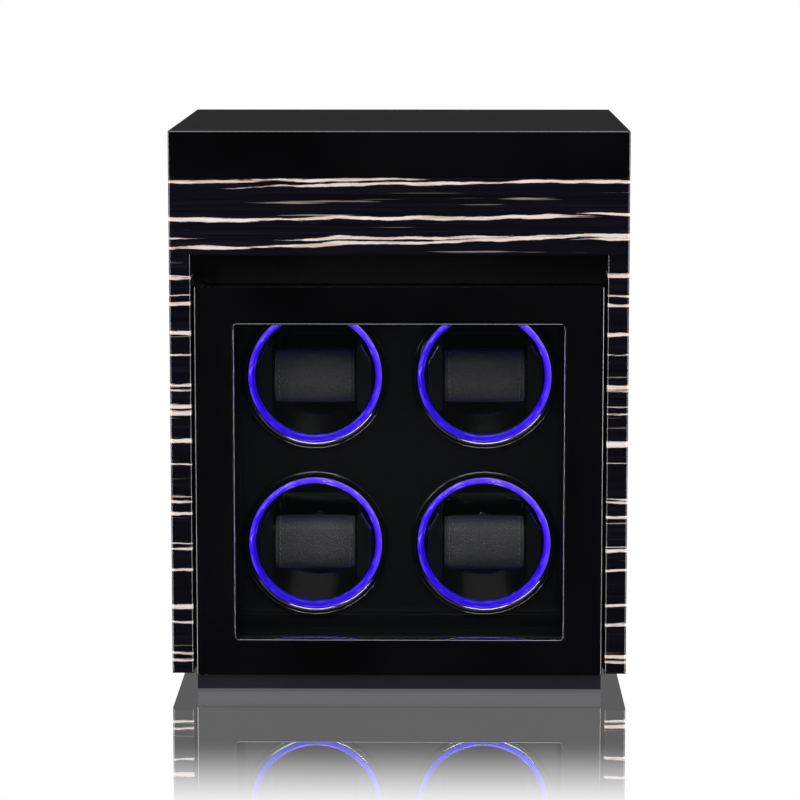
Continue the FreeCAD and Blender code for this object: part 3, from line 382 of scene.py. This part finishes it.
def glass():
    """Clear plate: all but invisible face on, brighter and darker at a slant, with faint smears."""
    face_on, edge_on, slant_power = 0.04, 0.85, 4.0
    surface = Surface("clear_glass", Base_Color=(0.010, 0.013, 0.013, 1), Specular_IOR_Level=0.8)
    facing = surface.add("LayerWeight", {"Blend": 0.5}).outputs["Facing"]
    slant = surface.math("POWER", facing, slant_power)
    surface.set("Alpha", surface.range(slant, 0.0, 1.0, face_on, edge_on))
    surface.set("Roughness", surface.range(surface.noise(40, 4), 0.5, 0.8, 0.01, 0.06))
    return surface.material


BRUSHED_ALONG_X = (90, 2400, 2400)
POLISHED = (300, 300, 300)


def metal(name, color, roughness, stretch=POLISHED):
    """Metal with brushing along the axis of the lowest scale, or a faintly uneven polish."""
    surface = Surface(name, Metallic=1.0)
    lines = surface.noise(1, 4, stretch)
    dark = tuple(channel * 0.92 for channel in color)
    surface.set("Base Color", surface.ramp(lines, (0.3, dark), (0.7, color)))
    surface.set("Roughness", surface.vary(lines, roughness * 0.8, roughness * 1.25))
    surface.set("Normal", surface.bump(lines, 0.000004, 0.2))
    return surface.material


def moulding(name, color, roughness, grain_size=None, coat=0.0):
    """Moulded plastic, glossy, or spark-textured where a grain size is given."""
    cloud_scale, ripple_scale = 130, 320
    surface = Surface(name, Coat_Weight=coat, Coat_Roughness=0.04, Specular_IOR_Level=0.5)
    cloud = surface.noise(cloud_scale, 4)
    light = tuple(channel * 1.12 + 0.0003 for channel in color)
    surface.set("Base Color", surface.ramp(cloud, (0.3, color), (0.75, light)))
    surface.set("Roughness", surface.vary(cloud, roughness * 0.94, roughness * 1.06))
    texture = surface.noise(1 / grain_size if grain_size else ripple_scale, 2)
    height, strength = (0.00012, 0.5) if grain_size else (0.00002, 0.2)
    surface.set("Normal", surface.bump(texture, height, strength))
    return surface.material


def lit_ring():
    """Blue diffuser: deep blue below, with paler flecks where each lamp shines; the violet towards the top,
    the paler right side and the paler outer edge are painted highlights.
    """
    flecks_round, flecks_across = 26, 2.4
    surface = Surface("light_diffuser", Roughness=0.25, Emission_Strength=5.0)
    turn = surface.add("TexCoord").outputs["UV"]
    axes = surface.add("SeparateXYZ", {"Vector": turn})
    angle = surface.math("MULTIPLY", axes.outputs["X"], 2 * math.pi)
    # Painted highlights: the ring's colour turns paler towards the top (high), towards the right and towards
    # its outer edge.
    high = surface.math("MULTIPLY_ADD", surface.math("SINE", angle), 0.16, 0.30)
    painted_right_highlight = surface.math("MULTIPLY_ADD", surface.math("COSINE", angle), 0.08, 0.0)
    flecks = surface.add("TexNoise", {"Vector": surface.stretch((flecks_round, flecks_across, 1), turn),
                                      "Scale": 1.0, "Detail": 4.0, "Distortion": 0.8}).outputs["Fac"]
    sparks = surface.range(flecks, 0.52, 0.70, 0.0, 0.34)
    painted_edge_highlight = surface.math("MULTIPLY_ADD", axes.outputs["Y"], 0.34, -0.08)
    glow_and_painted_highlights = surface.math("ADD", surface.math("ADD", high, painted_right_highlight), surface.math("ADD", sparks, painted_edge_highlight))
    color = surface.ramp(glow_and_painted_highlights, (0.20, (0.0030, 0.0002, 0.10)), (0.40, (0.0085, 0.0008, 0.19)),
                         (0.62, (0.0260, 0.0100, 0.21)), (0.90, (0.0800, 0.0620, 0.24)))
    surface.set("Emission Color", color)
    surface.set("Base Color", color)
    return surface.material


def circuit():
    """Green solder mask with copper tracks showing through it."""
    track_scale, track_height = 260, 0.00005
    mask, copper = (0.008, 0.060, 0.020), (0.030, 0.140, 0.040)
    surface = Surface("circuit_board", Coat_Weight=0.4, Coat_Roughness=0.2, Roughness=0.4)
    tracks = surface.range(surface.cell_edges(track_scale), 0.04, 0.08, 1.0, 0.0)
    surface.set("Base Color", surface.blend(tracks, mask, copper))
    surface.set("Normal", surface.bump(tracks, track_height, 0.5))
    return surface.material


# Colour, grain size and depth in metres, roughness, specular level.
LEATHERS = {
    "leatherette": ((0.0030, 0.0028, 0.0036), 0.0011, 0.00018, 0.55, 0.15),
    "cushion_leatherette": ((0.045, 0.045, 0.050), 0.0012, 0.00020, 0.36, 0.5),
}
# Colour, roughness and, where the metal is brushed, its noise scales.
METALS = {
    "black_chrome": ((0.17, 0.17, 0.18), 0.10),
    "blackened_steel": ((0.05, 0.05, 0.055), 0.3),
    "zinc_steel": ((0.55, 0.56, 0.58), 0.38, BRUSHED_ALONG_X),
    "brass": ((0.80, 0.58, 0.28), 0.36, BRUSHED_ALONG_X),
    "magnet_nickel": ((0.62, 0.61, 0.60), 0.12),
}
# Colour, roughness, grain size in metres or None where smooth, and clear coat.
MOULDINGS = {
    "black_board": ((0.006, 0.006, 0.007), 0.5, 0.0015),
    "gloss_black_plastic": ((0.0035, 0.0035, 0.0045), 0.10, None, 1.0),
    "matte_black_plastic": ((0.010, 0.010, 0.011), 0.5, 0.0006),
    "lead_insulation": ((0.012, 0.012, 0.013), 0.45, 0.0009),
    "foot_rubber": ((0.012, 0.012, 0.012), 0.8, 0.0007),
    "thread": ((0.090, 0.090, 0.100), 0.6, 0.0003),
}


def make_materials():
    materials = {
        "black_lacquer": lacquer("black_lacquer", (0.0007, 0.0007, 0.0009), (0.0016, 0.0015, 0.0021)),
        "plinth_lacquer": lacquer("plinth_lacquer", (0.0090, 0.0085, 0.0125), (0.0120, 0.0115, 0.0165)),
        "macassar_veneer": macassar(),
        "suede_lining": suede(),
        "clear_glass": glass(),
        "light_diffuser": lit_ring(),
        "circuit_board": circuit(),
    }
    for make, rows in ((leather, LEATHERS), (metal, METALS), (moulding, MOULDINGS)):
        for name, row in rows.items():
            materials[name] = make(name, *row)
    return materials


# ---------------------------------------------------------------- mesh helpers
WELD_GAP = 0.002 * MM
SMOOTH_BELOW = 35
BEVEL_ABOVE = 40


def link(name, mesh, material, body):
    """Put a finished mesh in the scene, riding on a body."""
    piece = bpy.data.objects.new(name, mesh)
    bpy.context.collection.objects.link(piece)
    mesh.materials.clear()
    mesh.materials.append(material)
    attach(piece, body)
    return piece


def smooth(mesh, angle=SMOOTH_BELOW):
    for face in mesh.polygons:
        face.use_smooth = True
    mesh.set_sharp_from_angle(angle=math.radians(angle))


def finish_mesh(shape, name):
    """Turn a closed bmesh into a mesh with its faces turned outwards."""
    mesh = bpy.data.meshes.new(name)
    bmesh.ops.recalc_face_normals(shape, faces=shape.faces)
    shape.to_mesh(mesh)
    shape.free()
    return mesh


def dress(node, material, bevel):
    """Give a CAD node its material, smooth shading and softened edges."""
    piece = NODES[node]
    mesh = piece.data
    mesh.materials.clear()
    mesh.materials.append(material)
    for face in mesh.polygons:
        face.use_smooth = True
        face.material_index = 0
    weld = piece.modifiers.new("weld", "WELD")
    weld.merge_threshold = WELD_GAP
    if bevel:
        edge = piece.modifiers.new("soft_edges", "BEVEL")
        edge.width = bevel
        edge.segments = 3
        edge.limit_method = "ANGLE"
        edge.angle_limit = math.radians(BEVEL_ABOVE)
        weigh = piece.modifiers.new("even_normals", "WEIGHTED_NORMAL")
        weigh.keep_sharp = True
    else:
        split = piece.modifiers.new("crisp_edges", "EDGE_SPLIT")
        split.split_angle = math.radians(SMOOTH_BELOW)


def arc(middle, radius, start, end, steps):
    """Points of an arc between two angles in degrees, in the (radius, Y) plane."""
    angles = [math.radians(start + (end - start) * step / steps) for step in range(steps + 1)]
    return [(middle[0] + radius * math.cos(a), middle[1] + radius * math.sin(a)) for a in angles]


def rounded_section(half_y, half_z, radius, steps=8):
    """Outline of a rounded rectangle in the YZ plane, as (Y, Z) points."""
    points = []
    for turn, (y, z) in enumerate(((1, 1), (-1, 1), (-1, -1), (1, -1))):
        for step in range(steps + 1):
            angle = math.radians(90 * turn + 90 * step / steps)
            points.append((y * (half_y - radius) + radius * math.cos(angle),
                           z * (half_z - radius) + radius * math.sin(angle)))
    return points


# ---------------------------------------------------------------- rings round the cups
RING_SEGMENTS = 192
LIGHT_WIDTH = 3.6 * MM
DOME_HEIGHT, DOME_STEPS = 0.5 * MM, 16
RING_GAP = 0.1 * MM


def lathe(name, centre, profile, material, body):
    """A closed profile of (radius, Y, v) turned round a line along Y; u runs round the turn."""
    shape = bmesh.new()
    uv = shape.loops.layers.uv.new("turn")
    rings = []
    for step in range(RING_SEGMENTS):
        angle = 2 * math.pi * step / RING_SEGMENTS
        rings.append([shape.verts.new((centre.x + radius * math.cos(angle), y,
                                       centre.z + radius * math.sin(angle))) for radius, y, _ in profile])
    count = len(profile)
    for step in range(RING_SEGMENTS):
        for index in range(count):
            after = (index + 1) % count
            corners = ((step, index), (step, after), (step + 1, after), (step + 1, index))
            face = shape.faces.new([rings[turn % RING_SEGMENTS][point] for turn, point in corners])
            for loop, (turn, point) in zip(face.loops, corners):
                loop[uv].uv = (turn / RING_SEGMENTS, profile[point][2])
    mesh = finish_mesh(shape, name)
    smooth(mesh)
    return link(name, mesh, material, body)


def ring_centres():
    """Middle of each turntable, from its cup."""
    centres = {}
    for number in TURNTABLES:
        low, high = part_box(f"turntable_cup_{number}")
        centres[number] = (low + high) / 2
    return centres


def light_profile(inner, outer, front, back):
    """Flat ring with a domed face, as (radius, Y, share of the width)."""
    dome = []
    for step in range(DOME_STEPS + 1):
        part = step / DOME_STEPS
        rise = DOME_HEIGHT * math.sin(math.pi * part)
        dome.append((inner + (outer - inner) * part, front + DOME_HEIGHT - rise, part))
    return [(inner, back, 0.0), *dome, (outer, back, 1.0)]


def bezel_profile(inner, outer, seat, front, light_front, back):
    """A hollow cove, a fine groove and a rounded outer shoulder, as (radius, Y, v)."""
    cove_radius, rim_radius, lip_depth = 3.0 * MM, 0.5 * MM, 0.9 * MM
    cove = arc((inner + 1.9 * MM, front + cove_radius), cove_radius, 232, 280, 14)
    groove = [(inner + across * MM, front + 0.5 * MM) for across in (2.55, 2.7)]
    shoulder = arc((outer - rim_radius, front + 0.6 * MM), rim_radius, 200, 360, 12)
    points = [(inner, light_front), (inner, front + lip_depth), *cove, *groove, *shoulder,
              (outer, back), (seat, back), (seat, light_front)]
    return [(radius, y, 0.5) for radius, y in points]


def make_rings(materials):
    """A lit ring and a bezel round each turntable."""
    light_low, light_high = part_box("light_rings")
    bezel_low, bezel_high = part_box("ring_bezels")
    centres = ring_centres()
    half_pitch = (centres[2].x - centres[1].x) / 2
    light_outer = light_high.x - half_pitch
    light_shape = light_profile(light_outer - LIGHT_WIDTH, light_outer, light_low.y, light_high.y)
    bezel_shape = bezel_profile(light_outer - RING_GAP, bezel_high.x - half_pitch, light_outer + RING_GAP,
                                bezel_low.y, light_low.y, bezel_high.y)
    for number, centre in centres.items():
        light = lathe(f"light_ring_{number}", centre, light_shape, materials["light_diffuser"],
                      BODY_OF["light_rings"])
        bezel = lathe(f"bezel_{number}", centre, bezel_shape, materials["black_chrome"],
                      BODY_OF["ring_bezels"])
        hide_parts("light_rings")
        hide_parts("ring_bezels")


# ---------------------------------------------------------------- window
WINDOW_REBATE = 3.7 * MM
WINDOW_LIP = 1.0 * MM
WINDOW_RADIUS = 2.8 * MM


def make_glass_trim(materials):
    """Thin bright lip that lines the window of the door, from its face back to the glass."""
    low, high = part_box("door_glass")
    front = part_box("door_frame")[0].y
    middle = (low + high) / 2
    half_x, half_z = (high.x - low.x) / 2 - WINDOW_REBATE, (high.z - low.z) / 2 - WINDOW_REBATE
    nose = arc((WINDOW_LIP / 2, front + WINDOW_LIP / 2), WINDOW_LIP / 2, 180, 360, 8)
    shape = bmesh.new()
    loops = []
    for inset, y in [(0.0, low.y), *nose, (WINDOW_LIP, low.y)]:
        points = rounded_section(half_x - inset, half_z - inset, WINDOW_RADIUS - inset)
        loops.append([shape.verts.new((middle.x + x, y, middle.z + z)) for x, z in points])
    count = len(loops[0])
    for index, loop in enumerate(loops):
        following = loops[(index + 1) % len(loops)]
        for point in range(count):
            after = (point + 1) % count
            shape.faces.new((loop[point], loop[after], following[after], following[point]))
    mesh = finish_mesh(shape, "window_trim")
    smooth(mesh)
    link("window_trim", mesh, materials["black_chrome"], BODY_OF["door_frame"])


# ---------------------------------------------------------------- cushions
# CAD nodes, name of the pieces, radius of the long edges, size of the cloth's mesh, furthest bulge.
CUSHION_SETS = (
    ("holder_cushion", "watch_cushion", 10 * MM, 1.6 * MM, 2.0 * MM),
    ("storage_cushion", "storage_pillow", 9 * MM, 2.6 * MM, 3.0 * MM),
)
BULGE_ROOM = (0.3, 0.7, 0.7)
CLOTH_PRESSURE, CLOTH_FRAMES = 4.0, 20
BLANK_STEPS, BLANK_NARROWING = 24, 0.05
PUCKER_DEPTH, PUCKER_REACH, PUCKERS_ROUND = 0.45 * MM, 0.28, 26
PIPING_INSET, PIPING_RADIUS = 1.0 * MM, 0.55 * MM
SEAM_INSET = 3.2 * MM
STITCH_SPACING, STITCH_LENGTH = 3.0 * MM, 2.0 * MM
STITCH_RADIUS, STITCH_LIFT = 0.24 * MM, 0.05 * MM
CUSHION_SMOOTH_BELOW = 60


def pillow_blank(size, radius):
    """A bar of rounded section along X that narrows a little towards its ends."""
    half = size / 2
    shape = bmesh.new()
    sections = []
    for step in range(BLANK_STEPS + 1):
        part = step / BLANK_STEPS * 2 - 1
        narrow = 1 - BLANK_NARROWING * part ** 6
        sections.append([shape.verts.new((part * half.x, y * narrow, z * narrow))
                         for y, z in rounded_section(half.y, half.z, radius)])
    count = len(sections[0])
    for first, second in zip(sections, sections[1:]):
        for index in range(count):
            after = (index + 1) % count
            shape.faces.new((first[index], first[after], second[after], second[index]))
    shape.faces.new(sections[0])
    shape.faces.new(list(reversed(sections[-1])))
    return finish_mesh(shape, "pillow_blank")


def evaluated_mesh(piece):
    graph = bpy.context.evaluated_depsgraph_get()
    return bpy.data.meshes.new_from_object(piece.evaluated_get(graph))


def inflate(mesh, voxel, cap):
    """Blow a cushion up as cloth under pressure, with no point moving further than the cap."""
    piece = bpy.data.objects.new("inflating", mesh)
    bpy.context.collection.objects.link(piece)
    remesh = piece.modifiers.new("remesh", "REMESH")
    remesh.mode = "VOXEL"
    remesh.voxel_size = voxel
    bpy.context.view_layer.update()
    piece.data = evaluated_mesh(piece)
    piece.modifiers.clear()
    start = [vertex.co.copy() for vertex in piece.data.vertices]
    cloth = piece.modifiers.new("cloth", "CLOTH")
    cloth.settings.quality = 6
    cloth.settings.mass = 0.15
    cloth.settings.tension_stiffness = 12
    cloth.settings.compression_stiffness = 12
    cloth.settings.bending_stiffness = 0.4
    cloth.settings.use_pressure = True
    cloth.settings.uniform_pressure_force = CLOTH_PRESSURE
    cloth.settings.effector_weights.gravity = 0
    cloth.point_cache.frame_start = 1
    cloth.point_cache.frame_end = CLOTH_FRAMES
    for number in range(1, CLOTH_FRAMES + 1):
        bpy.context.scene.frame_set(number)
    blown = evaluated_mesh(piece)
    piece.modifiers.clear()
    bpy.context.scene.frame_set(1)
    for vertex, after, before in zip(piece.data.vertices, blown.vertices, start):
        move = after.co - before
        if move.length > cap:
            move *= cap / move.length
        vertex.co = before + move
    return piece


def pucker(mesh, half):
    """Small gathers that run in from the end seams and die away along the cushion."""
    reach = half.x * PUCKER_REACH
    for vertex in mesh.vertices:
        co = vertex.co
        fade = math.exp(-(half.x - abs(co.x)) / reach)
        turn = math.atan2(co.z, co.y)
        wave = math.sin(turn * PUCKERS_ROUND + 3 * noise.noise(co * 90)) * 0.6
        wave += noise.noise(Vector((co.x * 60, co.y * 240, co.z * 240)))
        outward = Vector((0, co.y, co.z)).normalized()
        vertex.co = co + outward * (wave * fade * PUCKER_DEPTH - 0.3 * PUCKER_DEPTH * fade)


def tube(points, radius):
    """A closed round cord through a loop of points, as a mesh."""
    curve = bpy.data.curves.new("piping", "CURVE")
    curve.dimensions = "3D"
    curve.bevel_depth = radius
    curve.bevel_resolution = 2
    line = curve.splines.new("POLY")
    line.points.add(len(points) - 1)
    for point, place in zip(line.points, points):
        point.co = (*place, 1)
    line.use_cyclic_u = True
    holder = bpy.data.objects.new("piping", curve)
    bpy.context.collection.objects.link(holder)
    bpy.context.view_layer.update()
    mesh = evaluated_mesh(holder)
    bpy.data.objects.remove(holder)
    return mesh


def stitch_row(points):
    """Short rounded stitches laid along a loop of points, standing out a little from it."""
    shape = bmesh.new()
    sides = list(zip(points, points[1:] + points[:1]))
    total = sum((b - a).length for a, b in sides)
    count = int(total / STITCH_SPACING)
    centre = sum(points, Vector()) / len(points)
    walked, target, made = 0.0, 0.0, 0
    for a, b in sides:
        step = (b - a).length
        while made < count and target <= walked + step and step > 0:
            place = a.lerp(b, (target - walked) / step)
            out = (place - centre).normalized()
            turn = (b - a).normalized().to_track_quat("Z", "Y").to_matrix()
            stitch = bmesh.ops.create_uvsphere(shape, u_segments=8, v_segments=6, radius=1.0)["verts"]
            for vertex in stitch:
                local = Vector((vertex.co.x * STITCH_RADIUS, vertex.co.y * STITCH_RADIUS,
                                vertex.co.z * STITCH_LENGTH / 2))
                vertex.co = place + out * STITCH_LIFT + turn @ local
            made += 1
            target += total / count
        walked += step
    mesh = bpy.data.meshes.new("stitches")
    shape.to_mesh(mesh)
    shape.free()
    return mesh


def seam_line(mesh, x, outline):
    """Points where an outline's rays from the cushion's long axis leave its surface, at one X."""
    tree = BVHTree.FromPolygons([vertex.co for vertex in mesh.vertices],
                                [list(face.vertices) for face in mesh.polygons])
    points = []
    for y, z in outline:
        outward = Vector((0, y, z)).normalized()
        hit = tree.ray_cast(Vector((x, 0, 0)) + outward * 100 * MM, -outward)[0]
        if hit:
            points.append(hit)
    return points


def place_mesh(name, mesh, offset, material, body):
    """A copy of a mesh at an offset."""
    copy = mesh.copy()
    copy.name = name
    for vertex in copy.vertices:
        vertex.co = offset + vertex.co
    smooth(copy, CUSHION_SMOOTH_BELOW)
    return link(name, copy, material, body)


def make_cushion_set(nodes, kind, radius, voxel, cap, materials):
    """Simulate one cushion, then lay a copy with its piping and stitches at each node."""
    low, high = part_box(nodes[0])
    size = high - low - Vector([2 * cap * share for share in BULGE_ROOM])
    half = size / 2
    piece = inflate(pillow_blank(size, radius), voxel, cap)
    pucker(piece.data, half)
    fair = piece.modifiers.new("fair", "SMOOTH")
    fair.factor = 0.5
    fair.iterations = 2
    subdivide = piece.modifiers.new("subdivide", "SUBSURF")
    subdivide.levels = 1
    bpy.context.view_layer.update()
    soft = evaluated_mesh(piece)
    bpy.data.objects.remove(piece)
    outline = rounded_section(half.y, half.z, radius)
    piping = [seam_line(soft, side * (half.x - PIPING_INSET), outline) for side in (-1, 1)]
    seams = [seam_line(soft, side * (half.x - SEAM_INSET), outline) for side in (-1, 1)]
    slot = SLOT_OF[nodes[0]]
    for number, node in enumerate(nodes, start=1):
        low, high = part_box(node)
        middle = (low + high) / 2
        body = BODY_OF[node]
        pillow = place_mesh(f"{kind}_{number}", soft, middle, materials[slot], body)
        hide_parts(node)
        for side, edge, seam in zip(("left", "right"), piping, seams):
            place_mesh(f"{kind}_{number}_piping_{side}", tube(edge, PIPING_RADIUS), middle,
                       materials[slot], body)
            place_mesh(f"{kind}_{number}_stitches_{side}", stitch_row(seam), middle,
                       materials["thread"], body)


# ---------------------------------------------------------------- the scene
make_camera()
make_world()
make_floor()
for light_row in LIGHTS:
    make_light(*light_row)
bpy.context.scene.view_settings.view_transform = "Standard"

# Width of the rounding on each node's edges, in mm; the others stay crisp.
SOFT_EDGE = {
    "lid_shell": 0.7, "door_frame": 0.8, "front_frame": 0.6, "side_panel_left": 0.5,
    "side_panel_right": 0.5, "plinth_base": 0.8, "back_panel": 0.3, "rear_service_cover": 0.3,
    "recess_panel": 0.3, "chamber_lining": 0.3, "turntable_fascia": 0.3, "door_glass": 0.2,
    "glass_retainer": 0.3, "storage_tray": 0.6, "lid_lining": 1.0, "floor_board": 0.4,
    "rubber_feet": 0.2, "lid_hinge_fixed_leaves": 0.15, "lid_hinge_moving_leaves": 0.15,
    "switch_housing": 0.25, "switch_rocker": 0.3, "mode_knob": 0.2, "power_jack": 0.2,
    "door_pivot_brackets": 0.1,
    **{f"holder_frame_{n}": 0.5 for n in TURNTABLES}, **{f"turntable_cup_{n}": 0.4 for n in TURNTABLES},
}
OWN_FINISH = {"plinth_base": "plinth_lacquer"}
MATERIALS = make_materials()
for node_name in NODES:
    finish = MATERIALS[OWN_FINISH.get(node_name, SLOT_OF[node_name])]
    dress(node_name, finish, SOFT_EDGE.get(node_name, 0.0) * MM)
make_rings(MATERIALS)
make_glass_trim(MATERIALS)
for cad_name, piece_name, *shape_row in CUSHION_SETS:
    make_cushion_set([f"{cad_name}_{n}" for n in TURNTABLES], piece_name, *shape_row, MATERIALS)
